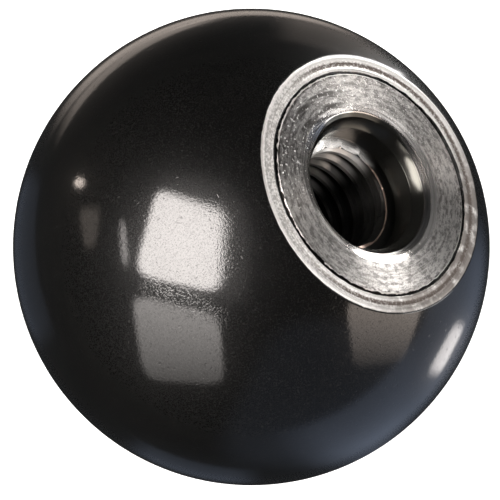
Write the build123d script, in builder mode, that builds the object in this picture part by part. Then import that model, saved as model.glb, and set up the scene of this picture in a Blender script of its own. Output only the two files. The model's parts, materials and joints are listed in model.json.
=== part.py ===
from build123d import *
import os
from math import acos, atan2, cos, degrees, radians, sin, sqrt, tan

# Ball knob: a black moulded ball with a turned steel insert in its flat landing.
# The origin is the centre of the ball. +Z runs along the thread and out of its mouth.
# All lengths are in millimetres and all angles in degrees.

# Ball
ball_diameter = 40.0
landing_flat = 1.35  # width of the ball's own flat, between the insert and the rounded edge
landing_round = 0.5  # radius of the edge between the flat and the ball

# Tapped hole, M10 x 1.5
thread_minor_diameter = 8.376
countersink_diameter = 10.2
countersink_angle = 160.0
drill_angle = 118.0
end_wall = 1.5  # steel left under the point of the drilled hole

# Counterbore, which clears the shoulder of the stud, and the cove that leads into it
counterbore_diameter = 10.4
counterbore_depth = 3.6
cove_width = 0.65
cove_radius = 2.0
cove_lean = 24.0  # lean of the wall at the top of the cove
mouth_chamfer = 0.6

# Outside of the insert, from the landing inwards
neck_wall = 1.8  # steel between the counterbore and the floor of the neck
groove_depth = 1.5  # from the crest of the knurl to the floor of the neck and of the groove
collar_step = 1.0  # how far the collar stands out from the knurl
collar_height = 3.0
neck_height = 3.0
knurl_height = 7.5
groove_height = 3.0
end_chamfer = 1.0

# Straight knurl, which keeps the insert from turning in the ball
knurl_count = 24
knurl_depth = 0.5
knurl_angle = 90.0

# Fine V at the joint between the two pieces
insert_edge_chamfer = 0.2
ball_edge_chamfer = 0.15

# Radii, worked out from the hole to the outside
ball_radius = ball_diameter / 2
bore_radius = thread_minor_diameter / 2
countersink_radius = countersink_diameter / 2
counterbore_radius = counterbore_diameter / 2
throat_radius = counterbore_radius + cove_width
mouth_radius = throat_radius + mouth_chamfer
neck_radius = counterbore_radius + neck_wall
knurl_radius = neck_radius + groove_depth
collar_radius = knurl_radius + collar_step
flat_radius = collar_radius + landing_flat

# The rounded edge is an arc that touches both the flat and the ball
edge_centre_z = sqrt((ball_radius - landing_round) ** 2 - flat_radius**2)
edge_angle = degrees(atan2(edge_centre_z, flat_radius))
landing_z = edge_centre_z + landing_round

# Heights of the insert's outside
collar_z = landing_z - collar_height
upper_knurl_top = collar_z - neck_height
upper_knurl_foot = upper_knurl_top - knurl_height
lower_knurl_top = upper_knurl_foot - groove_height
insert_foot = lower_knurl_top - knurl_height

# The cove is a hollow arc, from the foot of the chamfer to the wall of the counterbore
throat_z = landing_z - mouth_chamfer
cove_centre_x = throat_radius - cove_radius * cos(radians(cove_lean))
cove_centre_z = throat_z + cove_radius * sin(radians(cove_lean))
cove_foot_lean = degrees(acos((counterbore_radius - cove_centre_x) / cove_radius))
cove_foot_z = cove_centre_z - cove_radius * sin(radians(cove_foot_lean))

# Heights inside the hole
counterbore_floor = landing_z - counterbore_depth
countersink_fall = (countersink_radius - bore_radius) / tan(radians(countersink_angle / 2))
thread_top = counterbore_floor - countersink_fall
drill_point_z = insert_foot + end_wall
drill_shoulder = drill_point_z + bore_radius / tan(radians(drill_angle / 2))

os.makedirs("parts", exist_ok=True)

# Insert before drilling: the shape that the plastic is moulded round
with BuildPart() as insert_blank:
    with BuildSketch(Plane.XZ):
        with BuildLine():
            Polyline(
                (0, landing_z),
                (collar_radius, landing_z),
                (collar_radius, collar_z),
                (neck_radius, collar_z),
                (neck_radius, upper_knurl_top),
                (knurl_radius, upper_knurl_top),
                (knurl_radius, upper_knurl_foot),
                (neck_radius, upper_knurl_foot),
                (neck_radius, lower_knurl_top),
                (knurl_radius, lower_knurl_top),
                (knurl_radius, insert_foot + end_chamfer),
                (knurl_radius - end_chamfer, insert_foot),
                (0, insert_foot),
                close=True,
            )
        make_face()
    revolve(axis=Axis.Z)

    # Each groove of the knurl is a V that runs the length of both bands
    groove_half_width = knurl_depth * tan(radians(knurl_angle / 2))
    with BuildSketch(Plane.XY.offset(insert_foot)):
        with PolarLocations(knurl_radius, knurl_count):
            Polygon(
                (-knurl_depth, 0),
                (knurl_depth, 2 * groove_half_width),
                (knurl_depth, -2 * groove_half_width),
                align=None,
            )
    extrude(amount=upper_knurl_top - insert_foot, mode=Mode.SUBTRACT)

# Ball, with the pocket that the blank leaves in it
with BuildPart() as ball:
    with BuildSketch(Plane.XZ):
        with BuildLine():
            Line((0, -ball_radius), (0, landing_z))
            Line((0, landing_z), (flat_radius, landing_z))
            CenterArc((flat_radius, edge_centre_z), landing_round, 90, edge_angle - 90)
            CenterArc((0, 0), ball_radius, edge_angle, -90 - edge_angle)
        make_face()
    revolve(axis=Axis.Z)
    add(insert_blank.part, mode=Mode.SUBTRACT)
    pocket_mouth = ball.edges().filter_by(GeomType.CIRCLE).group_by(Axis.Z)[-1].sort_by(SortBy.RADIUS)[0]
    chamfer(pocket_mouth, ball_edge_chamfer)

# Insert, drilled, counterbored and countersunk
with BuildPart() as threaded_insert:
    add(insert_blank.part)
    face_rim = threaded_insert.edges().filter_by(GeomType.CIRCLE).group_by(Axis.Z)[-1]
    chamfer(face_rim, insert_edge_chamfer)
    with BuildSketch(Plane.XZ):
        with BuildLine():
            Polyline((0, landing_z), (mouth_radius, landing_z), (throat_radius, throat_z))
            CenterArc((cove_centre_x, cove_centre_z), cove_radius, -cove_lean, cove_lean - cove_foot_lean)
            Polyline(
                (counterbore_radius, cove_foot_z),
                (counterbore_radius, counterbore_floor),
                (countersink_radius, counterbore_floor),
                (bore_radius, thread_top),
                (bore_radius, drill_shoulder),
                (0, drill_point_z),
                (0, landing_z),
            )
        make_face()
    revolve(axis=Axis.Z, mode=Mode.SUBTRACT)

ball.part.label = "ball"
threaded_insert.part.label = "threaded_insert"
export_step(ball.part, "parts/ball.step")
export_step(threaded_insert.part, "parts/threaded_insert.step")

landing_diameter = 2 * sqrt(ball_radius**2 - landing_z**2)
print(f"height {ball_radius + landing_z:.3f}, landing diameter {landing_diameter:.3f}")
print(f"counterbore wall from z {cove_foot_z:.3f} to {counterbore_floor:.3f}")
print(f"thread from z {thread_top:.3f} to {drill_shoulder:.3f}")
print(f"insert from z {landing_z:.3f} to {insert_foot:.3f}")
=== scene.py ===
# %% [markdown]
# # A ball knob, from solids to a picture
#
# The object is a round black knob, as screwed on the end of a lever: a moulded ball with a
# turned steel insert in its flat landing, and a blind tapped hole in the insert. The solids
# arrive as a fixed frame with their true sizes. This lesson builds a finer ball and a finer
# insert on those sizes, gives both their finishes, and lights them like the photograph.
#
# The first step loads the frame and keeps the size of the solids, because nothing that is
# built here may leave that size.

# %% Load the frame
import json
import math

import bpy
from mathutils import Matrix, Vector


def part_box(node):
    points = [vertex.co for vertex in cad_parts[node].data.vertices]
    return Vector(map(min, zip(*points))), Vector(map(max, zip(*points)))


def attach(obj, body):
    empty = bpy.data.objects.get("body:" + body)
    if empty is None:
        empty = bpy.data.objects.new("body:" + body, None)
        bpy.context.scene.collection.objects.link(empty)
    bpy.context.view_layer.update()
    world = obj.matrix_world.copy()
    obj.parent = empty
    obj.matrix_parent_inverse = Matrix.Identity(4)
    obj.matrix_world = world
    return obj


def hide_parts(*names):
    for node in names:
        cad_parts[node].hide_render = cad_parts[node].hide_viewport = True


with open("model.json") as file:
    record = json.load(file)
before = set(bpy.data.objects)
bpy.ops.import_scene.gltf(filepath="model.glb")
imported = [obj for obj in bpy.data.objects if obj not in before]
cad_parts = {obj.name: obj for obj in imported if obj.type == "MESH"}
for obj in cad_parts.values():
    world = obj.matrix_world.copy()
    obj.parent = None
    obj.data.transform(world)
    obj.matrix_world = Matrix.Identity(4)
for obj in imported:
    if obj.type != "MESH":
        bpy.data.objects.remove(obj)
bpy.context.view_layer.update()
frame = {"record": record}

# %% [markdown]
# ## Sizes
#
# A turned piece is known by its outline: the shape of one half of its section. The real
# outlines were drawn once, for the solids, so most of these values repeat that drawing. The
# ball, the landing and the two holes are read from the frame itself. Blender works in
# metres, so each size in millimetres is multiplied by MM.

# %% Sizes of the ball and of the insert
MM = 0.001

ball_low, ball_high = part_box("ball")
insert_low, insert_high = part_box("threaded_insert")
mounts = {mount["name"]: mount for mount in frame["record"]["mounts"]}

ball_radius = -ball_low.z
landing_z = ball_high.z
collar_radius = insert_high.x
insert_foot = insert_low.z
bore_radius = mounts["thread"]["dims"]["r_mm"] * MM
counterbore_radius = mounts["counterbore"]["dims"]["r_mm"] * MM

landing_flat = 1.35 * MM
landing_round = 0.5 * MM
ball_edge_chamfer = 0.15 * MM
insert_edge_chamfer = 0.2 * MM

mouth_chamfer = 0.6 * MM
cove_width = 0.65 * MM
cove_radius = 2.0 * MM
cove_lean = math.radians(24)
counterbore_depth = 3.6 * MM
countersink_radius = 5.1 * MM
countersink_half_angle = math.radians(80)
end_wall = 1.5 * MM
drill_half_angle = math.radians(59)

collar_height = 3.0 * MM
neck_height = 3.0 * MM
knurl_height = 7.5 * MM
groove_height = 3.0 * MM
knurl_radius = collar_radius - 1.0 * MM
neck_radius = knurl_radius - 1.5 * MM
end_chamfer = 1.0 * MM

knurl_count = 24
knurl_depth = 0.5 * MM
knurl_half_angle = math.radians(45)

flat_radius = collar_radius + landing_flat
throat_radius = counterbore_radius + cove_width
throat_z = landing_z - mouth_chamfer
mouth_radius = throat_radius + mouth_chamfer
counterbore_floor = landing_z - counterbore_depth
drill_point_z = insert_foot + end_wall
drill_shoulder = drill_point_z + bore_radius / math.tan(drill_half_angle)
edge_centre_z = landing_z - landing_round
edge_angle = math.atan2(edge_centre_z, flat_radius)
cove_centre_x = throat_radius - cove_radius * math.cos(cove_lean)
cove_centre_z = throat_z + cove_radius * math.sin(cove_lean)
cove_foot_lean = math.acos((counterbore_radius - cove_centre_x) / cove_radius)
print(f"ball radius {ball_radius / MM:.3f} mm, landing at {landing_z / MM:.3f} mm")
print(f"hole bottom between {drill_shoulder / MM:.3f} mm and {drill_point_z / MM:.3f} mm")

# %% [markdown]
# ## Arithmetic that builds nodes
#
# Both the shapes and the finishes below are node trees. Written by hand, a tree is a long
# list of nodes and links, and its formula gets lost. So this small class wraps the output of
# a node, and each plus or times on it adds the Math node that does the same. A formula in
# the script then reads like a formula, and Blender still gets an ordinary tree.

# %% A node's output as a term in a formula
def plug(value, slot):
    """Gives an input a link, if the value is a term, or a plain value."""
    if isinstance(value, Term):
        slot.id_data.links.new(value.socket, slot)
    else:
        slot.default_value = value


def calculate(operation, *values):
    """Adds one Math node and returns its result."""
    tree = next(value.socket.id_data for value in values if isinstance(value, Term))
    node = tree.nodes.new("ShaderNodeMath")
    node.operation = operation
    for slot, value in zip(node.inputs, values):
        plug(value, slot)
    return Term(node.outputs[0])


class Term:
    """The output of a node, for use in plain arithmetic."""

    def __init__(self, socket):
        self.socket = socket

    def __add__(self, other):
        return calculate("ADD", self, other)

    def __radd__(self, other):
        return calculate("ADD", other, self)

    def __sub__(self, other):
        return calculate("SUBTRACT", self, other)

    def __rsub__(self, other):
        return calculate("SUBTRACT", other, self)

    def __mul__(self, other):
        return calculate("MULTIPLY", self, other)

    def __rmul__(self, other):
        return calculate("MULTIPLY", other, self)

    def __truediv__(self, other):
        return calculate("DIVIDE", self, other)

    def __rtruediv__(self, other):
        return calculate("DIVIDE", other, self)

    def __pow__(self, other):
        return calculate("POWER", self, other)


# %% Nodes that are used again and again
def add(tree, kind, inputs=None, **settings):
    """Adds a node, with its settings and the values or terms of its inputs."""
    node = tree.nodes.new(kind)
    for name, value in settings.items():
        setattr(node, name, value)
    for name, value in (inputs or {}).items():
        plug(value, node.inputs[name])
    return node


def combine(tree, x, y, z):
    """One vector from three numbers or terms."""
    return Term(add(tree, "ShaderNodeCombineXYZ", {"X": x, "Y": y, "Z": z}).outputs[0])


def separate(vector):
    """The three parts of a vector."""
    node = add(vector.socket.id_data, "ShaderNodeSeparateXYZ", {"Vector": vector})
    return [Term(output) for output in node.outputs]


def rise(value, start, end):
    """0 before start, 1 after end, and a soft step between them."""
    node = add(
        value.socket.id_data,
        "ShaderNodeMapRange",
        {"Value": value, "From Min": start, "From Max": end},
        interpolation_type="SMOOTHSTEP",
    )
    return Term(node.outputs[0])


def noise(vector, per_metre, detail=2.0, roughness=0.5):
    """Cloudy values from 0 to 1, with that many clouds to the metre."""
    node = add(
        vector.socket.id_data,
        "ShaderNodeTexNoise",
        {"Vector": vector, "Scale": per_metre, "Detail": detail, "Roughness": roughness},
    )
    return Term(node.outputs[0])


# %% [markdown]
# ## A lathe made of nodes
#
# Both pieces are round, so both come off one lathe. The Spin tool or the Screw modifier
# could turn an outline too, but they can't cut the knurl, the row of V grooves that keeps
# the insert from turning in the plastic. Here a flat grid is wrapped round the axis instead:
# each row of the grid stands at one point of the outline and each column at one angle.
#
# The grooves decide where the columns stand. Ten columns share one groove and its land, and
# two of them stand exactly on the edges of the V. The law of sines gives the depth of the V
# at any angle from its middle.

# %% Start a tree
COLUMNS_PER_GROOVE = 10


def start_tree(name, inputs, outputs):
    """An empty tree with named inputs and outputs. Returns the tree, its inputs and its end."""
    tree = bpy.data.node_groups.new(name, "GeometryNodeTree")
    for label, kind in inputs.items():
        tree.interface.new_socket(label, in_out="INPUT", socket_type="NodeSocket" + kind)
    for label, kind in outputs.items():
        tree.interface.new_socket(label, in_out="OUTPUT", socket_type="NodeSocket" + kind)
    start = tree.nodes.new("NodeGroupInput")
    end = tree.nodes.new("NodeGroupOutput")
    return tree, {label: Term(start.outputs[label]) for label in inputs}, end


def use_tree(tree, group, inputs):
    """Adds one tree inside another as a single node."""
    node = tree.nodes.new("GeometryNodeGroup")
    node.node_tree = group
    for name, value in inputs.items():
        plug(value, node.inputs[name])
    return node


# %% Where the columns stand
KNURL_INPUTS = {
    "Groove Count": "Int",
    "Knurl Radius": "Float",
    "Groove Depth": "Float",
    "Groove Half Angle": "Float",
}

column_tree, given, end = start_tree(
    "column_place", {"Column": "Float", **KNURL_INPUTS}, {"Angle": "Float", "Cut": "Float"}
)
half_turn_of_groove = math.pi / given["Groove Count"]
apex_radius = given["Knurl Radius"] - given["Groove Depth"]
groove_sine = calculate("SINE", given["Groove Half Angle"])
edge_sine = apex_radius / given["Knurl Radius"] * groove_sine
groove_edge = given["Groove Half Angle"] - calculate("ARCSINE", edge_sine)

groove_number = calculate("FLOOR", given["Column"] / COLUMNS_PER_GROOVE)
step = given["Column"] - groove_number * COLUMNS_PER_GROOVE
steps_from_middle = calculate("MINIMUM", step, COLUMNS_PER_GROOVE - step)
steps_in_groove = calculate("MINIMUM", steps_from_middle, 2.0)
steps_on_land = steps_from_middle - steps_in_groove
land_step = (half_turn_of_groove - groove_edge) / (COLUMNS_PER_GROOVE / 2 - 2)
from_middle = steps_in_groove * (groove_edge / 2) + steps_on_land * land_step
past_middle = calculate("GREATER_THAN", step, COLUMNS_PER_GROOVE / 2)
side = 1 - 2 * past_middle
angle = 2 * half_turn_of_groove * (groove_number + past_middle) + side * from_middle

floor_sine = calculate("SINE", given["Groove Half Angle"] - from_middle)
cut = calculate("MAXIMUM", given["Knurl Radius"] - apex_radius * groove_sine / floor_sine, 0.0)
plug(angle, end.inputs["Angle"])
plug(cut, end.inputs["Cut"])
print("column tree has", len(column_tree.nodes), "nodes")

# %% [markdown]
# The outline itself is a chain of points that the script draws. Each point carries two
# marks. The knurl mark says which way the point moves where a groove is cut, and the ragged
# mark says how unevenly the edge broke away there, because brittle plastic never leaves the
# tool with a perfect edge.

# %% Turn an outline round the axis
turning_tree, given, end = start_tree(
    "turning", {"Outline": "Geometry", **KNURL_INPUTS}, {"Mesh": "Geometry"}
)
outline_size = add(
    turning_tree, "GeometryNodeAttributeDomainSize", {"Geometry": given["Outline"]}
)
row_count = Term(outline_size.outputs["Point Count"])
grid = add(
    turning_tree,
    "GeometryNodeMeshGrid",
    {"Vertices X": given["Groove Count"] * COLUMNS_PER_GROOVE + 1, "Vertices Y": row_count},
)
index = Term(add(turning_tree, "GeometryNodeInputIndex").outputs[0])
column = calculate("FLOOR", index / row_count)
row = index - column * row_count
column_node = use_tree(
    turning_tree, column_tree, {"Column": column, **{name: given[name] for name in KNURL_INPUTS}}
)
turned_angle = Term(column_node.outputs["Angle"])
turned_cut = Term(column_node.outputs["Cut"])


def outline_value(kind, field):
    """What the outline holds at this row: its position or one of its marks."""
    node = add(turning_tree, "GeometryNodeSampleIndex", data_type=kind)
    plug(given["Outline"], node.inputs["Geometry"])
    turning_tree.links.new(field, node.inputs["Value"])
    plug(row, node.inputs["Index"])
    return Term(node.outputs[0])


def mark_of_outline(kind, name):
    """The field of a named mark."""
    node = add(turning_tree, "GeometryNodeInputNamedAttribute", {"Name": name}, data_type=kind)
    return node.outputs[0]


outline_position = add(turning_tree, "GeometryNodeInputPosition").outputs[0]
point_x, _, point_z = separate(outline_value("FLOAT_VECTOR", outline_position))
knurl_mark = mark_of_outline("FLOAT_VECTOR", "knurl")
mark_x, _, mark_z = separate(outline_value("FLOAT_VECTOR", knurl_mark))
ragged = outline_value("FLOAT", mark_of_outline("FLOAT", "ragged"))

# %% Place each point, with its groove and its ragged edge
RAGGED_WAVES = 9.0
cosine = calculate("COSINE", turned_angle)
sine = calculate("SINE", turned_angle)
around = combine(turning_tree, cosine, sine, 0.0)
unevenness = noise(around, RAGGED_WAVES, detail=3.0, roughness=0.6) - 0.5
radius_here = point_x + mark_x * turned_cut + ragged * unevenness
height_here = point_z + mark_z * turned_cut
place = combine(turning_tree, radius_here * cosine, radius_here * sine, height_here)
wrapped = add(
    turning_tree,
    "GeometryNodeSetPosition",
    {"Geometry": Term(grid.outputs["Mesh"]), "Position": place},
)
plug(Term(wrapped.outputs[0]), end.inputs["Mesh"])
print("turning tree has", len(turning_tree.nodes), "nodes")

# %% [markdown]
# ## The thread
#
# The hole is tapped M10 with a pitch of 1.5 mm, so its wall is a helix, and a helix isn't a
# turned shape. It can still come from the same grid. The rows follow the thread down the
# hole, sixteen to a turn of the thread, and each column stands a little higher than the one
# before it, by one pitch in a full turn. What would stick out above the countersink or below
# the end of the hole is pressed flat on it, and merging the doubled points then closes the
# mesh. The tap leaves shallow threads at the bottom. At the top the thread deepens over its
# first millimetre, so the countersink ends in a clean round lip.

# %% The grid of the thread, from the countersink down to the point of the drill
ROWS_PER_PITCH = 16
CREST_SHARE = 1 / 8
FLANK_SHARE = 5 / 16
THREAD_INPUTS = {
    "Pitch": "Float",
    "Bore Radius": "Float",
    "Thread Depth": "Float",
    "Top": "Float",
    "Bottom": "Float",
    "Drill Point": "Float",
    "Countersink Radius": "Float",
    "Countersink Half Angle": "Float",
    "Run-out": "Float",
    "Lead-in": "Float",
    "Start": "Float",
}

threading_tree, given, end = start_tree(
    "threading", {**THREAD_INPUTS, **KNURL_INPUTS}, {"Mesh": "Geometry"}
)
turns_of_thread = calculate("CEIL", (given["Top"] - given["Bottom"]) / given["Pitch"] + 2)
helix_rows = turns_of_thread * ROWS_PER_PITCH
thread_grid = add(
    threading_tree,
    "GeometryNodeMeshGrid",
    {"Vertices X": given["Groove Count"] * COLUMNS_PER_GROOVE + 1, "Vertices Y": helix_rows + 1},
)
index = Term(add(threading_tree, "GeometryNodeInputIndex").outputs[0])
column = calculate("FLOOR", index / (helix_rows + 1))
row = index - column * (helix_rows + 1)
column_node = use_tree(
    threading_tree, column_tree, {"Column": column, **{name: given[name] for name in KNURL_INPUTS}}
)
thread_angle = Term(column_node.outputs["Angle"])

# %% How high and how deep each point of the thread lies
turns_down = row / ROWS_PER_PITCH
helix_z = given["Top"] + given["Pitch"] * (given["Start"] + thread_angle / math.tau - turns_down)
thread_z = calculate("MINIMUM", calculate("MAXIMUM", helix_z, given["Bottom"]), given["Top"])
from_crest = calculate("ABSOLUTE", calculate("FRACT", turns_down) - 0.5)
share_of_depth = calculate("MAXIMUM", (from_crest - CREST_SHARE) / FLANK_SHARE, 0.0)
thread_cut = calculate("MINIMUM", share_of_depth, 1.0) * given["Thread Depth"]
tap_taper = (thread_z - given["Bottom"]) / given["Run-out"] * given["Thread Depth"]
lead_in = (given["Top"] - thread_z) / given["Lead-in"] * given["Thread Depth"]
least_cut = calculate("MINIMUM", calculate("MINIMUM", thread_cut, tap_taper), lead_in)
thread_radius = given["Bore Radius"] + least_cut

cone_slope = calculate("TANGENT", given["Countersink Half Angle"])
cone_radius = given["Countersink Radius"] - (given["Top"] - thread_z) * cone_slope
hole_radius = calculate("MAXIMUM", thread_radius, cone_radius)

# %% Close the hole with the point of the drill
at_point = calculate("GREATER_THAN", row, helix_rows - 0.5)
point_radius = hole_radius * (1 - at_point)
point_height = thread_z + (given["Drill Point"] - thread_z) * at_point
place = combine(
    threading_tree,
    point_radius * calculate("COSINE", thread_angle),
    point_radius * calculate("SINE", thread_angle),
    point_height,
)
tapped = add(
    threading_tree,
    "GeometryNodeSetPosition",
    {"Geometry": Term(thread_grid.outputs["Mesh"]), "Position": place},
)
plug(Term(tapped.outputs[0]), end.inputs["Mesh"])
print("threading tree has", len(threading_tree.nodes), "nodes")

# %% [markdown]
# Each piece ends the same way. Doubled points are merged, which closes the seam, the poles
# and the pressed rows. Faces are shaded smooth, and an edge stays sharp only where the
# surface turns by more than a set angle. Realize Instances and Set Material come last, so
# that the plain mesh that is baked from the tree has everything in it.

# %% Finish a mesh
MERGE_DISTANCE = 0.0005 * MM
SHARP_ANGLE = math.radians(24)


def finish_mesh(tree, mesh, material, end):
    """Merges, shades and paints a mesh, and ends the tree with it."""
    merged = add(
        tree, "GeometryNodeMergeByDistance", {"Geometry": mesh, "Distance": MERGE_DISTANCE}
    )
    smooth = add(tree, "GeometryNodeSetShadeSmooth", {"Geometry": Term(merged.outputs[0])})
    fold = Term(add(tree, "GeometryNodeInputMeshEdgeAngle").outputs["Unsigned Angle"])
    sharp = add(
        tree,
        "GeometryNodeStoreNamedAttribute",
        {
            "Geometry": Term(smooth.outputs[0]),
            "Name": "sharp_edge",
            "Value": calculate("GREATER_THAN", fold, SHARP_ANGLE),
        },
        data_type="BOOLEAN",
        domain="EDGE",
    )
    real = add(tree, "GeometryNodeRealizeInstances", {"Geometry": Term(sharp.outputs[0])})
    painted = add(
        tree, "GeometryNodeSetMaterial", {"Geometry": Term(real.outputs[0]), "Material": material}
    )
    plug(Term(painted.outputs[0]), end.inputs["Geometry"])


# %% The tree of each piece
ball_tree, given, end = start_tree(
    "moulded_ball",
    {"Geometry": "Geometry", **KNURL_INPUTS, "Material": "Material"},
    {"Geometry": "Geometry"},
)
turned = use_tree(
    ball_tree,
    turning_tree,
    {"Outline": given["Geometry"], **{name: given[name] for name in KNURL_INPUTS}},
)
finish_mesh(ball_tree, Term(turned.outputs[0]), given["Material"], end)

insert_tree, given, end = start_tree(
    "tapped_insert",
    {"Geometry": "Geometry", **KNURL_INPUTS, **THREAD_INPUTS, "Material": "Material"},
    {"Geometry": "Geometry"},
)
turned = use_tree(
    insert_tree,
    turning_tree,
    {"Outline": given["Geometry"], **{name: given[name] for name in KNURL_INPUTS}},
)
tapped = use_tree(
    insert_tree,
    threading_tree,
    {name: given[name] for name in [*THREAD_INPUTS, *KNURL_INPUTS]},
)
both = insert_tree.nodes.new("GeometryNodeJoinGeometry")
plug(Term(tapped.outputs[0]), both.inputs[0])
plug(Term(turned.outputs[0]), both.inputs[0])
finish_mesh(insert_tree, Term(both.outputs[0]), given["Material"], end)
print("lathe trees are ready")

# %% [markdown]
# ## Helpers for the finishes
#
# Every finish reads Object coordinates, in metres, so a pattern stays on the metal or the
# plastic from whichever side it is seen. Two measures are used everywhere: how far a point
# is from the axis, and how high it is. From these a finish makes masks, which are 1 on one
# part of the piece and 0 on the rest, and patterns of noise. Its colour is then a list of
# coats, each laid over the last where its mask or pattern says so, and its relief is a list
# of patterns, each with its height.

# %% Coordinates of a finish
class Finish:
    """A new material with the coordinates that its patterns follow."""

    def __init__(self, name):
        self.material = bpy.data.materials.new(name)
        self.material.use_nodes = True
        self.tree = self.material.node_tree
        self.tree.nodes.clear()
        self.place = Term(self.tree.nodes.new("ShaderNodeTexCoord").outputs["Object"])
        self.x, self.y, self.z = separate(self.place)
        self.radius = (self.x * self.x + self.y * self.y) ** 0.5

    def distance_from(self, place):
        """How far the surface is from a place."""
        node = add(self.tree, "ShaderNodeVectorMath", operation="DISTANCE")
        plug(self.place, node.inputs[0])
        plug(place, node.inputs[1])
        return Term(node.outputs["Value"])

    def measured_along(self, place, way):
        """How far along a direction the surface is from a place."""
        from_place = (self.x - place[0], self.y - place[1], self.z - place[2])
        return from_place[0] * way[0] + from_place[1] * way[1] + from_place[2] * way[2]

    def side(self, x, y, start, end):
        """A mask for the side that x and y point to, from start to end in millimetres."""
        return rise(self.x * x + self.y * y, start * MM, end * MM)

    def spots(self, per_metre, start, end, detail=1.0):
        """Patches where cloudy noise is strong: none below start, and whole above end."""
        return rise(noise(self.place, per_metre, detail), start, end)

    def wobble(self, per_metre, width):
        """An uneven shift for the edge of a mask, as wide as that from end to end."""
        return (noise(self.place, per_metre) - 0.5) * width

    def rings(self, distance, across, around, detail=1.0, roughness=0.5):
        """Noise drawn out into rings: quick across them, and slow as they go round."""
        place = combine(self.tree, distance * across, self.x * around, self.y * around)
        return noise(place, 1.0, detail, roughness)

    def streaks(self, x, y, z, turn):
        """Noise drawn out into short lines, after a turn that gives them their direction."""
        turned = add(
            self.tree,
            "ShaderNodeVectorRotate",
            {"Vector": self.place, "Rotation": turn},
            rotation_type="EULER_XYZ",
        )
        parts = separate(Term(turned.outputs[0]))
        return noise(combine(self.tree, parts[0] * x, parts[1] * y, parts[2] * z), 1.0, detail=1.0)

    def colour(self, share, first, second):
        """A mix of two colours, or of a colour and a mix."""
        node = self.tree.nodes.new("ShaderNodeMix")
        node.data_type = "RGBA"
        plug(share, node.inputs[0])
        for slot, value in ((node.inputs[6], first), (node.inputs[7], second)):
            plug(value if isinstance(value, Term) else (*value, 1.0), slot)
        return Term(node.outputs[2])

    def coats(self, colour, coats):
        """Colours laid over a first one, each with the share that it covers."""
        for share, shade in coats:
            colour = self.colour(share, colour, shade)
        return colour

    def bump(self, height):
        """The surface normal of a relief whose height is in metres."""
        node = add(self.tree, "ShaderNodeBump", {"Height": height, "Distance": 1.0, "Strength": 1.0})
        return Term(node.outputs[0])

    def close(self, shader):
        """Ends the tree with a shader."""
        end = self.tree.nodes.new("ShaderNodeOutputMaterial")
        self.tree.links.new(shader.outputs[0], end.inputs["Surface"])
        return self.material


def relief(*parts):
    """A height in metres, from patterns and what each adds to it in millimetres."""
    height = 0.0
    for pattern, millimetres in parts:
        height = pattern * (millimetres * MM) + height
    return height


# %% [markdown]
# ## Black moulding
#
# The ball is moulded from a black thermosetting plastic and tumbled to a high gloss. Its
# colour is almost nothing: what is seen is the reflection, so the finish lives in the
# relief. A slow waviness comes from the mould, a fine orange peel breaks up the edge of each
# highlight, and short scuffs and a few pits come from handling.
#
# The landing is another matter. It was faced off on the lathe with the insert, which cuts
# through the glossy skin into the pale filler, so there the same material is a bright satin.
# One mask in the ball's own coordinates divides the two, because it is one piece of plastic.
# Where bits of the lip have chipped away, the mask stands back from the steel. One worn and
# one scratched place are given by where they lie on the ball.

# %% Masks on the ball
FACED_RADIUS = flat_radius + 0.12 * MM
FACED_HEIGHT = landing_z - 0.5 * MM
CHIPPED_WIDTH = 0.14 * MM
WORN_PLACE = (-1.2 * MM, -13.8 * MM, 14.4 * MM)
WORN_REACH = 5.5 * MM
SCRATCHED_PLACE = (1.0 * MM, -17.7 * MM, 9.2 * MM)
SCRATCHED_WAY = Vector((0.69, 0.54, 0.47)).normalized()
SCRATCHED_REACH = 5.0 * MM
SCRATCHED_WIDTH = 1.3 * MM

moulding = Finish("black_moulding")
outer_limit = moulding.radius + moulding.wobble(900.0, 0.12 * MM)
faced = rise(outer_limit, FACED_RADIUS + 0.03 * MM, FACED_RADIUS - 0.03 * MM)
faced = faced * rise(moulding.z, FACED_HEIGHT - 0.05 * MM, FACED_HEIGHT + 0.05 * MM)
chipped = moulding.side(-0.5, -0.87, 7.5, 9.5) + moulding.side(0.1, 1.0, 8.0, 9.8) * 0.6
inner_limit = moulding.radius + moulding.wobble(1400.0, 0.16 * MM) - chipped * CHIPPED_WIDTH
faced = faced * rise(inner_limit, collar_radius + 0.1 * MM, collar_radius + 0.16 * MM)

worn = rise(moulding.distance_from(WORN_PLACE), WORN_REACH, 0.3 * WORN_REACH)
along = moulding.measured_along(SCRATCHED_PLACE, SCRATCHED_WAY)
beside = (moulding.distance_from(SCRATCHED_PLACE) ** 2.0 - along * along) ** 0.5
scratched = rise(calculate("ABSOLUTE", along), SCRATCHED_REACH, 0.7 * SCRATCHED_REACH)
scratched = scratched * rise(beside, SCRATCHED_WIDTH, 0.3 * SCRATCHED_WIDTH)
print("masks of the ball made with", len(moulding.tree.nodes), "nodes")

# %% Skin of the ball
DEEP_BLACK = (0.001, 0.001, 0.0009)
CLOUDY_BLACK = (0.002, 0.002, 0.0018)
GRAIN_GREY = (0.0075, 0.0072, 0.0068)
DUST_GREY = (0.02, 0.02, 0.018)

clouds = noise(moulding.place, 130.0, detail=4.0)
grain = moulding.spots(7000.0, 0.5, 0.75)
dust = moulding.spots(4600.0, 0.8, 0.86, detail=0.0)
skin_colour = moulding.coats(
    DEEP_BLACK, [(clouds, CLOUDY_BLACK), (grain, GRAIN_GREY), (dust * 0.6, DUST_GREY)]
)

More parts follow.
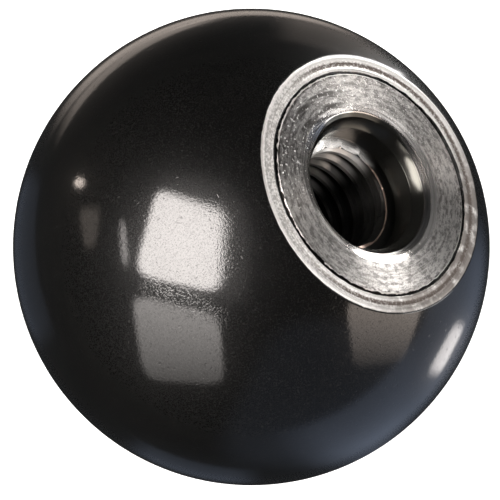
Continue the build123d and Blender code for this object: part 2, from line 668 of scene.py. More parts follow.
scuff_lines = moulding.streaks(5200.0, 700.0, 5200.0, (0.3, 0.9, 0.4))
scuff_cross = moulding.streaks(4300.0, 4300.0, 520.0, (1.1, 0.2, 0.7))
scuffs = rise(scuff_lines, 0.62, 0.72) + rise(scuff_cross, 0.63, 0.73)
scuffs = scuffs * moulding.spots(210.0, 0.42, 0.7, detail=3.0)
orange_peel = noise(moulding.place, 4200.0, detail=1.0)
grit = noise(moulding.place, 8600.0, detail=1.0)
waviness = noise(moulding.place, 260.0, detail=1.0)
pits = moulding.spots(3600.0, 0.77, 0.84, detail=0.0)
broken_line = moulding.spots(5200.0, 0.5, 0.6)
skin_height = relief(
    (orange_peel, 0.0034),
    (grit, 0.0014),
    (waviness, 0.005),
    (worn * grit, 0.006),
    (scratched * broken_line, 0.008),
    (scuffs, -0.0014),
    (pits, -0.006),
)

# %% [markdown]
# On the landing, grains of dark resin show between the filler, and the facing tool has left
# rings. A wave in the relief makes the shallow groove that runs round the middle of the
# band. Dirt lies in that groove, and painted shade darkens one side of the band in patches.

# %% Landing of the ball
BAND_MIDDLE = collar_radius + 0.25 * MM
BAND_PITCH = 0.93 * MM
PALE_FILLER = (1.0, 0.98, 0.955)
DARK_RESIN = (0.24, 0.22, 0.2)
TOOL_SHADE = (0.34, 0.31, 0.29)
GROOVE_DIRT = (0.13, 0.1, 0.085)
# Colour of the painted shade on one side of the band.
PAINTED_BAND_SHADE = (0.16, 0.135, 0.12)

band = calculate("COSINE", (moulding.radius - BAND_MIDDLE) * (math.tau / BAND_PITCH))
speckle = noise(moulding.place, 4300.0, detail=3.0, roughness=0.75)
blotch = noise(moulding.place, 1300.0)
outer_edge = rise(moulding.radius, flat_radius - 0.28 * MM, flat_radius - 0.1 * MM)
far_side = moulding.side(0.47, 0.88, -9.0, -3.0)
smooth_ring = rise(band, 0.1, 0.7) * far_side
dark_grains = rise(speckle + blotch * 0.3, 0.53, 0.76)
dark_grains = dark_grains * (1 - outer_edge * 0.7) * (1 - smooth_ring * 0.8)
facing_rings = moulding.rings(moulding.radius, 6500.0, 90.0)
groove_dirt = rise(band, 0.0, -0.75) * far_side * (0.4 + rise(speckle, 0.35, 0.5) * 0.6)
# Painted shade: patches that darken one side of the band.
band_painted_shade = moulding.spots(900.0, 0.28, 0.52, detail=3.0) * moulding.side(0.9, 0.42, 3.0, 9.0)
landing_colour = moulding.coats(
    PALE_FILLER,
    [
        (dark_grains * 0.6, DARK_RESIN),
        (rise(facing_rings, 0.5, 0.7) * 0.5, TOOL_SHADE),
        (groove_dirt * 0.9, GROOVE_DIRT),
        (band_painted_shade * 0.8, PAINTED_BAND_SHADE),
    ],
)
landing_height = relief((speckle, 0.004), (facing_rings, 0.012), (band, 0.026))

# %% [markdown]
# The shader joins skin and landing by the mask. The gloss itself is a thin coat over a
# duller black, which puts a faint halo round each highlight. The landing has no coat. It is
# partly metallic, because crushed filler under a tool shines more than plastic does.

# %% Shader of the ball
SKIN_ROUGHNESS = 0.36
SKIN_IOR = 1.24
GLOSS_ROUGHNESS = 0.065
GLOSS_IOR = 1.57
LANDING_SHINE = 0.62

surface_height = skin_height * (1 - faced) + landing_height * faced
surface_normal = moulding.bump(surface_height)
moulding_shader = add(
    moulding.tree,
    "ShaderNodeBsdfPrincipled",
    {
        "Base Color": moulding.colour(faced, skin_colour, landing_colour),
        "Metallic": faced * LANDING_SHINE,
        "Roughness": SKIN_ROUGHNESS - faced * 0.04 + scuffs * 0.05,
        "IOR": SKIN_IOR,
        "Coat Weight": (1 - faced) * (1 - rise(grit, 0.4, 0.75) * 0.35),
        "Coat Roughness": GLOSS_ROUGHNESS,
        "Coat IOR": GLOSS_IOR,
        "Normal": surface_normal,
        "Coat Normal": surface_normal,
    },
)
ball_finish = moulding.close(moulding_shader)
print("ball finish has", len(moulding.tree.nodes), "nodes")

# %% [markdown]
# ## Turned steel
#
# The insert is cut from free-machining steel. A tool that feeds along a turning piece leaves
# a fine spiral of grooves, and those grooves smear each reflection across themselves, which
# is why turned metal shows bright wedges. The shader's anisotropy does the smearing: its
# tangent runs round the axis, and a quarter turn points the long way of the highlight
# across the grooves.
#
# Masks divide the insert first: the face, a burnished ring round the mouth, the hole, its
# wall and its thread. Painted shade darkens the whole wall, one side of the thread and the
# roots of the thread, and a painted highlight draws a brown line at the lip of the bore on
# the shaded side. On the other side the thread deep in the hole is a pale, partly matt copy
# of the steel, painted to look lit. Toward the joint the rim is worn bright, and black dirt
# fills the last tenth of a millimetre, more of it on one side.

# %% Masks on the insert
BURNISHED_WIDTH = 0.45 * MM
# How much painted shade covers the wall and the shaded side of the thread.
WALL_PAINTED_SHADE = 0.975
THREAD_PAINTED_SHADE = 0.98
LIP_REACH = 0.3 * MM
DIRT_SHIFT = 0.007

steel = Finish("turned_steel")
on_face = rise(steel.radius, mouth_radius - 0.22 * MM, mouth_radius - 0.18 * MM)
on_face = on_face * rise(steel.z, landing_z - 0.3 * MM, landing_z - 0.22 * MM)
burnished_end = mouth_radius + BURNISHED_WIDTH
burnished = rise(steel.radius, burnished_end, burnished_end - 0.5 * BURNISHED_WIDTH)
left_side = steel.side(-1.0, 0.0, -2.0, 6.0)
# Painted shade: the side of the hole that is darkened.
shaded_side = steel.side(0.87, 0.5, -0.3, 1.8)

hole_edge = steel.radius - steel.side(-0.88, 0.47, 3.5, 5.5) * (0.3 * MM)
in_hole = rise(hole_edge, throat_radius + 0.04 * MM, throat_radius - 0.02 * MM)
on_wall = rise(steel.z, counterbore_floor - 0.02 * MM, counterbore_floor + 0.1 * MM)
in_thread = in_hole * (1 - on_wall)
deep = in_hole * rise(steel.z, counterbore_floor - 0.2 * MM, counterbore_floor - 0.4 * MM)
# Painted shade in the roots of the thread.
root_painted_shade = deep * rise(steel.radius, bore_radius + 0.22 * MM, bore_radius + 0.5 * MM)
# Painted highlight: a brown, half-matt line at the lip of the bore on the shaded side, where a
# rounded lip would catch the light.
lip_painted_highlight = rise(steel.radius, bore_radius + LIP_REACH, bore_radius + 0.6 * LIP_REACH) * shaded_side
lip_painted_highlight = lip_painted_highlight * rise(steel.z, counterbore_floor - 1.5 * LIP_REACH, counterbore_floor - LIP_REACH)
# Painted shade over the whole wall and over the shaded side of the thread.
shade_on_thread_side = shaded_side * THREAD_PAINTED_SHADE
hole_painted_shade = shade_on_thread_side + (WALL_PAINTED_SHADE - shade_on_thread_side) * on_wall

rim_edge = steel.radius + steel.wobble(1400.0, 0.12 * MM)
worn_rim = rise(rim_edge, collar_radius - 0.21 * MM, collar_radius - 0.18 * MM)
dirt_edge = steel.radius + steel.wobble(1700.0, 0.3 * MM)
dirt_edge = dirt_edge + (steel.x * 0.2 - steel.y * 0.98) * DIRT_SHIFT
joint_dirt = rise(dirt_edge, collar_radius - 0.12 * MM, collar_radius - 0.07 * MM)
print("masks of the insert made with", len(steel.tree.nodes), "nodes")

# %% [markdown]
# The marks follow. Fine and wide rings are the tool's own, and they run over the edge and
# down the wall, so they are measured along both. The mottling, the pits and the bright nicks
# are wear. In one place the face is scored in arcs round a point near the axis, and that
# place too is given by where it lies.

# %% Marks of the tool and of use
SCORED_PLACE = (-7.4 * MM, -1.2 * MM, landing_z)
SCORED_CENTRE = (0.8 * MM, -1.6 * MM, landing_z)
SCORED_REACH = 3.8 * MM
WIDE_RINGS_ON_WALL = 9 / 13

fine_rings = steel.rings(steel.radius + steel.z, 4200.0, 190.0, detail=2.0, roughness=0.6)
wide_rings = steel.rings(steel.radius + steel.z * WIDE_RINGS_ON_WALL, 1300.0, 160.0)
grains = noise(steel.place, 8600.0, detail=2.0, roughness=0.7)
tarnish = noise(steel.place, 420.0, detail=3.0)
open_face = on_face * (1 - burnished)
pitted = rise(grains + tarnish * 0.3 + left_side * 0.05, 0.68, 0.8) * open_face
mottle = steel.rings(steel.radius, 3200.0, 1500.0, detail=3.0, roughness=0.65)
mottle = rise(mottle, 0.44, 0.62) * open_face
arcs = steel.rings(steel.distance_from(SCORED_CENTRE), 2100.0, 160.0)
scored = rise(steel.distance_from(SCORED_PLACE), SCORED_REACH, 0.4 * SCORED_REACH) * on_face
nicks = steel.spots(4600.0, 0.63, 0.71) * (0.3 + left_side * 0.7) * on_face
near_joint = rise(steel.radius, collar_radius - 0.55 * MM, collar_radius - 0.2 * MM)
dirt = rise(noise(steel.place, 1500.0) + left_side * 0.05, 0.52, 0.62) * near_joint * on_face

# %% Colour of the steel
CLEAN_STEEL = (0.74, 0.71, 0.685)
TARNISHED_STEEL = (0.5, 0.47, 0.445)
RING_SHADE = (0.26, 0.24, 0.225)
MOTTLE_SHADE = (0.17, 0.158, 0.15)
SCORED_SHADE = (0.1, 0.092, 0.085)
PIT_SHADE = (0.14, 0.13, 0.12)
FRESH_STEEL = (0.98, 0.96, 0.93)
FACE_DIRT = (0.03, 0.026, 0.023)
FLOOR_STEEL = (0.6, 0.585, 0.565)
# Pale painted steel that stands for the lit thread deep in the hole.
PAINTED_LIT_STEEL = (0.95, 0.93, 0.9)
# Colour of the painted shade in the thread roots.
PAINTED_ROOT_SHADE = (0.02, 0.018, 0.016)
# Colours of the painted shade in the hole, on the wall and on one side of the thread.
PAINTED_HOLE_SHADE = (0.05, 0.05, 0.044)
PAINTED_THREAD_SHADE = (0.012, 0.012, 0.011)
# Colour of the painted highlight at the lip of the bore.
PAINTED_LIP_HIGHLIGHT = (0.3, 0.21, 0.17)
RIM_STEEL = (0.7, 0.68, 0.66)
JOINT_DIRT = (0.012, 0.011, 0.01)

metal_colour = steel.coats(
    CLEAN_STEEL,
    [
        (rise(tarnish, 0.45, 0.8) * 0.5, TARNISHED_STEEL),
        (rise(fine_rings, 0.45, 0.7) * 0.7, RING_SHADE),
        (mottle * 0.72, MOTTLE_SHADE),
        (rise(arcs, 0.47, 0.57) * scored * 0.9, SCORED_SHADE),
        (pitted * 0.5, PIT_SHADE),
        (nicks, FRESH_STEEL),
        (dirt * 0.75, FACE_DIRT),
        (in_thread * 0.7, FLOOR_STEEL),
        # Painted light: deep in the hole the steel turns pale and partly matt, so it looks lit.
        (deep, PAINTED_LIT_STEEL),
        # Painted shade in the roots of the thread.
        (root_painted_shade, PAINTED_ROOT_SHADE),
        # Painted shade: the wall and one side of the thread are darkened.
        (in_hole * hole_painted_shade, PAINTED_HOLE_SHADE),
        (in_thread * shaded_side * 0.9, PAINTED_THREAD_SHADE),
        # Painted highlight along the lip of the bore.
        (in_hole * lip_painted_highlight * 0.85, PAINTED_LIP_HIGHLIGHT),
        (worn_rim, RIM_STEEL),
        (joint_dirt, JOINT_DIRT),
    ],
)

# %% [markdown]
# The face is dished a little in its relief, so its two sides mirror different lights. Steel
# that is rubbed dull at the rim is less metallic and rougher than clean steel. Where shade,
# the lip highlight or the lit thread are painted in the hole, the steel is less metallic too,
# and the lit side of the thread is a little rougher.

# %% Shader of the insert
DISH_SLOPE = 0.08
HOLE_ROUGHNESS = 0.19
FACE_ROUGHNESS = 0.29

around_axis = combine(steel.tree, steel.y * -1.0, steel.x, 0.0)
tangent = add(steel.tree, "ShaderNodeVectorMath", operation="NORMALIZE")
plug(around_axis, tangent.inputs[0])

metal_height = relief(
    (nicks, 0.01), (fine_rings, 0.009), (wide_rings, 0.01), (grains, 0.003), (scored * arcs, 0.02)
)
metal_height = metal_height * (0.2 + on_face * 0.8) + steel.radius * on_face * DISH_SLOPE
dull_rim = worn_rim * (1 - joint_dirt)
# Less metal where shade, the lip highlight and the lit thread are painted in the hole.
less_metal_in_hole = in_hole * (hole_painted_shade * 0.07 + lip_painted_highlight * 0.5) + deep * 0.6
face_roughness = FACE_ROUGHNESS + grains * 0.05 + pitted * 0.15 - burnished * 0.12
roughness = HOLE_ROUGHNESS + (face_roughness - HOLE_ROUGHNESS) * on_face
roughness = roughness + deep * (1 - shaded_side) * 0.06 + dull_rim * 0.2
steel_shader = add(
    steel.tree,
    "ShaderNodeBsdfPrincipled",
    {
        "Base Color": metal_colour,
        "Metallic": 1 - less_metal_in_hole - dull_rim * 0.5,
        "Roughness": roughness,
        "Anisotropic": 0.9,
        "Anisotropic Rotation": 0.25,
        "Tangent": Term(tangent.outputs[0]),
        "Normal": steel.bump(metal_height),
    },
)
insert_finish = steel.close(steel_shader)
print("steel finish has", len(steel.tree.nodes), "nodes")

# %% [markdown]
# ## Outlines
#
# An outline goes round the section of a piece the way that leaves the solid on its left, so
# that the turned faces point outwards. Round stretches are arcs, with a point each degree
# and a half. The plastic was moulded round the insert, so both outlines share the stretch
# where they touch: the insert follows it upwards and the ball's pocket downwards.

# %% Draw with points
ARC_STEP = math.radians(1.5)


def arc(centre_x, centre_z, radius, start, finish, step=ARC_STEP):
    """Points along an arc, both ends included."""
    count = max(1, math.ceil(abs(finish - start) / step))
    angles = [start + (finish - start) * k / count for k in range(count + 1)]
    return [(centre_x + radius * math.cos(a), centre_z + radius * math.sin(a)) for a in angles]


def broken_edge(before, corner, after, size, count=4):
    """Points that round a corner off, as a turner breaks a sharp edge with a file."""
    corner = Vector(corner)
    start = corner + (Vector(before) - corner).normalized() * size
    finish = corner + (Vector(after) - corner).normalized() * size
    points = []
    for k in range(count + 1):
        t = k / count
        points.append(tuple(start * (1 - t) ** 2 + corner * (2 * t * (1 - t)) + finish * t**2))
    return points


def outline_mesh(name, points, knurled, ragged):
    """A chain of points in the XZ plane, each with its marks."""
    mesh = bpy.data.meshes.new(name)
    mesh.from_pydata([(x, 0.0, z) for x, z in points], [], [])
    knurl_mark = mesh.attributes.new("knurl", "FLOAT_VECTOR", "POINT")
    for number, point in enumerate(points):
        knurl_mark.data[number].vector = knurled.get(point, (0.0, 0.0, 0.0))
    ragged_mark = mesh.attributes.new("ragged", "FLOAT", "POINT")
    for number, point in enumerate(points):
        ragged_mark.data[number].value = ragged.get(point, 0.0)
    return mesh


# %% The stretch where plastic and steel touch
collar_z = landing_z - collar_height
upper_knurl_top = collar_z - neck_height
upper_knurl_foot = upper_knurl_top - knurl_height
lower_knurl_top = upper_knurl_foot - groove_height

STRAIGHT_IN = (-1.0, 0.0, 0.0)
DOWN_THE_CHAMFER = (-1.0, 0.0, -1.0)
knurled_points = {
    (knurl_radius, upper_knurl_top): STRAIGHT_IN,
    (knurl_radius, upper_knurl_foot): STRAIGHT_IN,
    (knurl_radius, lower_knurl_top): STRAIGHT_IN,
    (knurl_radius, insert_foot + end_chamfer): DOWN_THE_CHAMFER,
}
shared_outline = [
    (collar_radius, collar_z),
    (neck_radius, collar_z),
    (neck_radius, upper_knurl_top),
    (knurl_radius, upper_knurl_top),
    (knurl_radius, upper_knurl_foot),
    (neck_radius, upper_knurl_foot),
    (neck_radius, lower_knurl_top),
    (knurl_radius, lower_knurl_top),
    (knurl_radius, insert_foot + end_chamfer),
    (knurl_radius - end_chamfer, insert_foot),
    (0.0, insert_foot),
]
print("shared outline has", len(shared_outline), "points")

# %% [markdown]
# ## The ball
#
# The outline starts at the lowest point of the ball, runs up the sphere to the rounded edge
# of the landing, across the narrow flat and down into the pocket. The point at the lip of
# the pocket is ragged, by little more than a tenth of a millimetre, which turns the joint
# with the steel into the slightly wavy dark line of the real knob.

# %% Make a piece from its outline
def make_piece(name, outline, tree, sizes):
    """Runs a tree on an outline and keeps the result as a plain mesh."""
    piece = bpy.data.objects.new(name, outline)
    bpy.context.scene.collection.objects.link(piece)
    modifier = piece.modifiers.new("shape", "NODES")
    modifier.node_group = tree
    for item in tree.interface.items_tree:
        if item.in_out == "INPUT" and item.name in sizes:
            modifier[item.identifier] = sizes[item.name]
    depsgraph = bpy.context.evaluated_depsgraph_get()
    shape = bpy.data.meshes.new_from_object(piece.evaluated_get(depsgraph))
    piece.modifiers.remove(modifier)
    piece.data = shape
    shape.name = name
    return piece


def describe(piece):
    """Prints what was made, and whether its skin is closed."""
    mesh = piece.data
    mesh.calc_loop_triangles()
    uses = [0] * len(mesh.edges)
    for loop in mesh.loops:
        uses[loop.edge_index] += 1
    open_edges = sum(1 for count in uses if count != 2)
    volume = 0.0
    for triangle in mesh.loop_triangles:
        a, b, c = (mesh.vertices[v].co for v in triangle.vertices)
        volume += a.dot(b.cross(c)) / 6
    print(
        f"{piece.name}: {len(mesh.loop_triangles)} triangles, {open_edges} open edges,",
        f"volume {volume / MM**3:.1f} cubic mm",
    )


KNURL_SIZES = {
    "Groove Count": knurl_count,
    "Knurl Radius": knurl_radius,
    "Groove Depth": knurl_depth,
    "Groove Half Angle": knurl_half_angle,
}

# %% The moulded ball
POCKET_RAGGED = 0.26 * MM
pocket_lip = (collar_radius + ball_edge_chamfer, landing_z)
pocket_wall_top = (collar_radius, landing_z - ball_edge_chamfer)
ball_outline = arc(0.0, 0.0, ball_radius, -math.pi / 2, edge_angle)
ball_outline[0] = (0.0, -ball_radius)
ball_outline += arc(flat_radius, edge_centre_z, landing_round, edge_angle, math.pi / 2)[1:]
ball_outline += [pocket_lip, pocket_wall_top, *shared_outline]

ball_chain = outline_mesh(
    "ball_outline", ball_outline, knurled_points, {pocket_lip: POCKET_RAGGED}
)
ball = make_piece("moulded_ball", ball_chain, ball_tree, {**KNURL_SIZES, "Material": ball_finish})
describe(ball)
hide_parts("ball")
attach(ball, "root")

# %% [markdown]
# ## The insert
#
# Its outline starts under the foot, climbs the outside with its two knurled bands, crosses
# the face and goes down the counterbore to the countersink, where the threading tree takes
# over. Use has worn the mouth of the hole, so a sloping shoulder lies round it and its
# chamfer is steeper than in the solids. Below it the wall is a hollow cove. The edges that a
# bolt would meet are broken by a few hundredths of a millimetre, because such an edge
# catches the light as a thin bright line.

# %% The turned insert
EDGE_BREAK = 0.03 * MM
SHOULDER_DROP = 0.2 * MM
SHOULDER_WIDTH = 0.57 * MM
SHOULDER_ROUND = 0.12 * MM
WORN_CHAMFER = 0.134 * MM
THREAD_SIZES = {
    "Pitch": 1.5 * MM,
    "Bore Radius": bore_radius,
    "Thread Depth": 5.0 * MM - bore_radius,
    "Top": counterbore_floor,
    "Bottom": drill_shoulder,
    "Drill Point": drill_point_z,
    "Countersink Radius": countersink_radius,
    "Countersink Half Angle": countersink_half_angle,
    "Run-out": 3.0 * MM,
    "Lead-in": 1.0 * MM,
    "Start": 0.514,
}

rim_low = (collar_radius, landing_z - insert_edge_chamfer)
rim_high = (collar_radius - insert_edge_chamfer, landing_z)
shoulder_low = (mouth_radius - SHOULDER_DROP, landing_z - SHOULDER_DROP)
shoulder_high = (shoulder_low[0] + SHOULDER_WIDTH, landing_z)
throat_edge = (throat_radius, throat_z + WORN_CHAMFER)
cove = arc(cove_centre_x, cove_centre_z, cove_radius, -cove_lean, -cove_foot_lean)
floor_corner = (counterbore_radius, counterbore_floor)
floor_edge = (countersink_radius, counterbore_floor)
insert_outline = [*reversed(shared_outline), rim_low, rim_high]
insert_outline += broken_edge(rim_high, shoulder_high, shoulder_low, SHOULDER_ROUND)
insert_outline += broken_edge(shoulder_high, shoulder_low, throat_edge, EDGE_BREAK)
insert_outline += [throat_edge, *cove[:-1]]
insert_outline += broken_edge(cove[-2], cove[-1], floor_corner, EDGE_BREAK)
insert_outline += [floor_corner, floor_edge]

insert_chain = outline_mesh("insert_outline", insert_outline, knurled_points, {})
insert = make_piece(
    "turned_insert",
    insert_chain,
    insert_tree,
    {**KNURL_SIZES, **THREAD_SIZES, "Material": insert_finish},
)
describe(insert)
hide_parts("threaded_insert")
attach(insert, "root")

# %% [markdown]
# ## The camera
#
# The photograph was taken with a long lens that looks down into the hole. Two circles on
# the knob, the landing and the mouth of the hole, appear as ellipses, and their shapes give
# the angle between the lens and the axis, the distance, and how far the camera was rolled.

# %% Camera at the photograph's viewing angle
IMAGE_SIZE = 500
BALL_CENTRE_COLUMN = 251.3
BALL_CENTRE_ROW = 246.95
AXIS_FROM_VIEW = math.radians(41.13)
AXIS_IN_PICTURE = math.radians(28.0)
SENSOR_WIDTH = 36.0
NEAREST_SEEN = 10.0 * MM
FURTHEST_SEEN = 20000.0 * MM
camera_distance = 335.0 * MM
focal_pixels = 3988.0

elevation = math.pi / 2 - AXIS_FROM_VIEW
back = Vector((0.0, -math.cos(elevation), math.sin(elevation)))
axis_seen = (Vector((0.0, 0.0, 1.0)) - back * back.z).normalized()
beside_axis = axis_seen.cross(back)
right = axis_seen * math.cos(AXIS_IN_PICTURE) + beside_axis * math.sin(AXIS_IN_PICTURE)
up = axis_seen * math.sin(AXIS_IN_PICTURE) - beside_axis * math.cos(AXIS_IN_PICTURE)
metres_per_pixel = camera_distance / focal_pixels
camera_place = back * camera_distance
camera_place -= right * ((BALL_CENTRE_COLUMN - IMAGE_SIZE / 2) * metres_per_pixel)
camera_place -= up * ((IMAGE_SIZE / 2 - BALL_CENTRE_ROW) * metres_per_pixel)

camera_data = bpy.data.cameras.new("camera")
camera_data.sensor_width = SENSOR_WIDTH
camera_data.lens = SENSOR_WIDTH * focal_pixels / IMAGE_SIZE
camera_data.clip_start = NEAREST_SEEN
camera_data.clip_end = FURTHEST_SEEN
camera = bpy.data.objects.new("camera", camera_data)
bpy.context.scene.collection.objects.link(camera)
turn = Matrix((right, up, back)).transposed()
camera.matrix_world = Matrix.Translation(camera_place) @ turn.to_4x4()
bpy.context.scene.camera = camera
print(f"lens {camera_data.lens:.0f} mm, camera at", tuple(camera_place))

# %% [markdown]
# ## Light, read from the ball
#
# A glossy ball is a mirror of the whole studio: every soft box in the room can be found in
# it. So each light is placed backwards. The script follows the camera's line of sight
# through a point of the picture to the ball, bounces it off, and puts the light where it
# goes. A panel that is given by the patch it should fill in the picture then stands in the
# right place, and it is still an ordinary glowing panel that any other camera sees mirrored
# in its own way.

# %% Find where the ball looks
PANEL_DISTANCE = 0.6


def mirrored_place(column, row):
    """The place in the room that the ball mirrors at a point of the picture."""
    across = (column - IMAGE_SIZE / 2) / focal_pixels
    upward = (IMAGE_SIZE / 2 - row) / focal_pixels
    sight = (right * across + upward * up - back).normalized()
    towards = -camera_place.dot(sight)
    miss = camera_place.length_squared - towards**2
    depth = math.sqrt(max(ball_radius**2 - miss, 0.0))
    meeting = camera_place + sight * (towards - depth)
    normal = meeting.normalized()
    bounced = sight - normal * (2 * sight.dot(normal))
    return meeting + bounced * PANEL_DISTANCE


def from_rim(angle, radius):
    """A point of the picture, given round the ball's centre: degrees, and pixels outwards."""
    turned = math.radians(angle)
    return (
        BALL_CENTRE_COLUMN + radius * math.cos(turned),
        BALL_CENTRE_ROW - radius * math.sin(turned),
    )


# %% [markdown]
# Each panel is a grid of cells that is bent by the mirror, and its UV map says how far along
# and how far down a cell lies. The material turns those two shares into a glow that fades at
# the edges. It adds the glow to clear glass, so where two panels overlap, their light adds up.

# %% The sheet of a panel
PANEL_CELLS = 20


def panel_sheet(name, corners, polar):
    """A grid whose points stand where the ball mirrors a patch of the picture."""
    mesh = bpy.data.meshes.new(name)
    upper_left, upper_right, lower_right, lower_left = (Vector(c) for c in corners)
    points = []
    shares = []
    for j in range(PANEL_CELLS + 1):
        for i in range(PANEL_CELLS + 1):
            u, v = i / PANEL_CELLS, j / PANEL_CELLS
            above = upper_left.lerp(upper_right, u)
            spot = above.lerp(lower_left.lerp(lower_right, u), v)
            points.append(mirrored_place(*(from_rim(*spot) if polar else spot)))
            shares.append((u, v))
    wide = PANEL_CELLS + 1
    cells = [
        (j * wide + i, j * wide + i + 1, (j + 1) * wide + i + 1, (j + 1) * wide + i)
        for j in range(PANEL_CELLS)
        for i in range(PANEL_CELLS)
    ]
    mesh.from_pydata(points, [], cells)
    sheet = mesh.uv_layers.new(name="sheet")
    for loop in mesh.loops:
        sheet.data[loop.index].uv = shares[loop.vertex_index]
    return mesh


# %% The glow of a panel
def panel_glow(name, colour, strength, soft, top, fall, square):
    """A glow over clear glass that fades at the edges of its sheet."""
    material = bpy.data.materials.new(name)
    material.use_nodes = True
    tree = material.node_tree
    tree.nodes.clear()
    place = Term(add(tree, "ShaderNodeUVMap", uv_map="sheet").outputs[0])
    u, v, _ = separate(place)
    from_middle_u = calculate("ABSOLUTE", u * 2 - 1) ** square
    from_middle_v = calculate("ABSOLUTE", v * 2 - 1) ** square
    outwards = (from_middle_u + from_middle_v) ** (1 / square)
    glow = rise(outwards, 1.0, 1.0 - soft) * (1 - v * (1 - fall))
    if top > 0:
        glow = glow * rise(v, 0.0, top)
    shine = add(tree, "ShaderNodeEmission", {"Color": (*colour, 1.0), "Strength": glow * strength})
    clear = tree.nodes.new("ShaderNodeBsdfTransparent")
    layered = tree.nodes.new("ShaderNodeAddShader")
    tree.links.new(shine.outputs[0], layered.inputs[0])
    tree.links.new(clear.outputs[0], layered.inputs[1])
    close = tree.nodes.new("ShaderNodeOutputMaterial")
    tree.links.new(layered.outputs[0], close.inputs["Surface"])
    return material


# %% Place a panel by its patch in the picture
def panel(name, corners, colour, strength, soft=0.2, top=0.0, fall=1.0, square=6.0, polar=False):
    """A light panel that fills a patch of the picture on the ball.

    Corners are given clockwise from the upper left. Soft is the width of the soft edge and top
    how far the light fades in from the upper side. Fall is the share of the strength that is
    left at the lower side, and square says how square the patch is: 2 is round.
    """
    light = bpy.data.objects.new(name, panel_sheet(name, corners, polar))
    light.data.materials.append(panel_glow(name, colour, strength, soft, top, fall, square))
    bpy.context.scene.collection.objects.link(light)
    light.visible_camera = False
    light.visible_shadow = False


# %% [markdown]
# The window is the main light: a bright upper pane and a dimmer lower one, with a dark bar
# between them, a faint halo round both and a thin line beside the upper one. Two small warm
# spots are seen further left, and a warm light that fades downwards lies on the right.

# %% The window and its company
WARM = (1.0, 0.94, 0.905)
AMBER = (1.0, 0.86, 0.76)
UPPER_PANE = [(156, 181), (228, 205), (223, 298), (130, 277)]
LOWER_PANE = [(127, 290), (222, 313), (228, 388), (142, 383)]
HALO = [(140, 160), (256, 176), (258, 322), (170, 300)]
LINE_BESIDE = [(118, 214), (125, 214), (131, 272), (121, 272)]
LAMP = [(72, 176), (87, 176), (87, 190), (72, 190)]
FAINT_PATCH = [(75, 202), (105, 202), (96, 253), (83, 253)]
UNDER_LANDING = [(343, 296), (430, 292), (404, 366), (352, 372)]

panel("window_upper", UPPER_PANE, WARM, 15.0, soft=0.14, top=0.15)
panel("window_lower", LOWER_PANE, WARM, 5.2, soft=0.14, fall=0.16)
panel("window_halo", HALO, WARM, 0.4, soft=0.35, square=3)
panel("window_edge", LINE_BESIDE, WARM, 5.0, soft=0.6, square=3)
panel("lamp", LAMP, AMBER, 10.0, soft=0.7, square=2)
panel("faint_patch", FAINT_PATCH, AMBER, 0.85, soft=0.45, square=4)
panel("side_light", UNDER_LANDING, AMBER, 3.6, soft=0.14, fall=0.0)

# %% [markdown]
# Six lights lie behind the landing's place in the picture, where only the steel mirrors
# them, because the ball's own skin is cut away there. Two bench lights and a dim ceiling
# serve the face. One light makes the white edge at the foot of the mouth, one grazes the
# worn shoulder and the first turns of the thread, and one reaches further down the hole.

# %% Lights that only the steel mirrors
NEUTRAL = (1.0, 0.985, 0.97)
FACE_UPPER_HALF = [(346, 186), (402, 196), (426, 256), (346, 258)]
FACE_LOWER_LEFT = [(410, 104), (430, 100), (454, 146), (436, 152)]
DOWN_THE_HOLE = [(403, 208), (434, 205), (438, 238), (406, 243)]
FOOT_OF_MOUTH = [(332, 70), (408, 66), (408, 119), (362, 121)]
SHOULDER = [(400, 276), (446, 262), (456, 286), (406, 304)]
WHOLE_LANDING = [(275, 75), (430, 60), (478, 250), (330, 300)]

panel("bench_light_low", FACE_UPPER_HALF, NEUTRAL, 1.35, soft=0.2, fall=0.7)
panel("bench_light_high", FACE_LOWER_LEFT, NEUTRAL, 0.9, soft=0.3)
panel("hole_light", DOWN_THE_HOLE, NEUTRAL, 3.4, soft=0.4)
panel("edge_light", FOOT_OF_MOUTH, NEUTRAL, 12.0, soft=0.25, square=4)
panel("thread_light", SHOULDER, NEUTRAL, 4.5, soft=0.3)
panel("dim_ceiling", WHOLE_LANDING, NEUTRAL, 0.2, soft=0.3, square=3)

# %% [markdown]
# What lies behind the ball only shows near its rim, where even black plastic mirrors
# strongly: a bluish glow at the left, at the right and below, a warm glow and a warm double
# line above, and a bright strip at the lower right. The patches along the rim are given by
# an angle round the ball's centre and a distance from it.

# %% What lies behind the ball
COOL = (0.62, 0.74, 1.0)
STRIP = [(458, 314), (469, 322), (439, 381), (422, 378)]
LOWER_RIGHT = [(272, 300), (440, 320), (400, 474), (190, 474)]
RIGHT_RIM = [(-75, 238), (12, 238), (12, 182), (-92, 180)]
LEFT_RIM = [(208, 238), (158, 238), (160, 218), (206, 210)]
LOWER_RIM = [(274, 238), (236, 238), (236, 220), (274, 220)]
UPPER_RIM = [(86, 237), (50, 238), (50, 210), (86, 204)]
OUTER_LINE = [(148, 236), (55, 237), (60, 233), (156, 227)]
INNER_LINE = [(148, 228), (92, 234), (92, 229), (158, 217)]

panel("strip", STRIP, WARM, 3.8, soft=0.5, square=4)
panel("cool_wall", LOWER_RIGHT, COOL, 0.12, soft=0.3, square=4)
panel("right_glow", RIGHT_RIM, COOL, 0.36, soft=0.4, polar=True)
panel("left_glow", LEFT_RIM, COOL, 0.09, soft=0.3, polar=True)
panel("bottom_glow", LOWER_RIM, COOL, 0.12, soft=0.5, polar=True)
panel("top_glow", UPPER_RIM, AMBER, 0.22, soft=0.5, polar=True)
panel("outer_line", OUTER_LINE, AMBER, 0.8, soft=0.5, polar=True)
panel("inner_line", INNER_LINE, AMBER, 0.7, soft=0.5, polar=True)

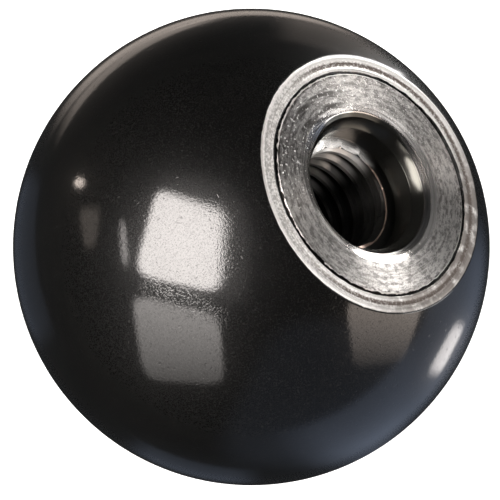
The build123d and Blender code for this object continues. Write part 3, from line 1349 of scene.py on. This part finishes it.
# %% [markdown]
# ## Floor and room
#
# The knob stands on a plain pale light table. The table glows a little by itself, so it
# stays pale under the ball and only a faint shadow is left. Glossy rays pass through it,
# because the photographed ball doesn't mirror its ground. The room is dark to everything
# but the camera, which sees plain white behind the table.

# %% A light table
TABLE_HALF = 2.0
TABLE_GREY = (0.8, 0.8, 0.8, 1.0)
TABLE_ROUGHNESS = 0.9
TABLE_GLOW = 0.86
table_mesh = bpy.data.meshes.new("light_table")
table_z = -ball_radius
table_mesh.from_pydata(
    [
        (-TABLE_HALF, -TABLE_HALF, table_z),
        (TABLE_HALF, -TABLE_HALF, table_z),
        (TABLE_HALF, TABLE_HALF, table_z),
        (-TABLE_HALF, TABLE_HALF, table_z),
    ],
    [],
    [(0, 1, 2, 3)],
)
table_material = bpy.data.materials.new("light_table")
table_material.use_nodes = True
table_shader = table_material.node_tree.nodes["Principled BSDF"]
table_shader.inputs["Base Color"].default_value = TABLE_GREY
table_shader.inputs["Roughness"].default_value = TABLE_ROUGHNESS
table_shader.inputs["Emission Color"].default_value = (1.0, 1.0, 1.0, 1.0)
table_shader.inputs["Emission Strength"].default_value = TABLE_GLOW
table_mesh.materials.append(table_material)
table = bpy.data.objects.new("light_table", table_mesh)
bpy.context.scene.collection.objects.link(table)
table.visible_glossy = False
table.visible_shadow = False

# %% The room
ROOM_GLOW = 0.02

world = bpy.data.worlds.new("room")
bpy.context.scene.world = world
world.use_nodes = True
room = world.node_tree
room.nodes.clear()
seen_directly = Term(room.nodes.new("ShaderNodeLightPath").outputs["Is Camera Ray"])
dark = add(room, "ShaderNodeBackground", {"Color": (0.9, 0.95, 1.0, 1.0), "Strength": ROOM_GLOW})
white = add(room, "ShaderNodeBackground", {"Color": (1.0, 1.0, 1.0, 1.0), "Strength": 1.0})
choice = room.nodes.new("ShaderNodeMixShader")
plug(seen_directly, choice.inputs[0])
room.links.new(dark.outputs[0], choice.inputs[1])
room.links.new(white.outputs[0], choice.inputs[2])
room_end = room.nodes.new("ShaderNodeOutputWorld")
room.links.new(choice.outputs[0], room_end.inputs["Surface"])
bpy.context.scene.view_settings.view_transform = "Standard"
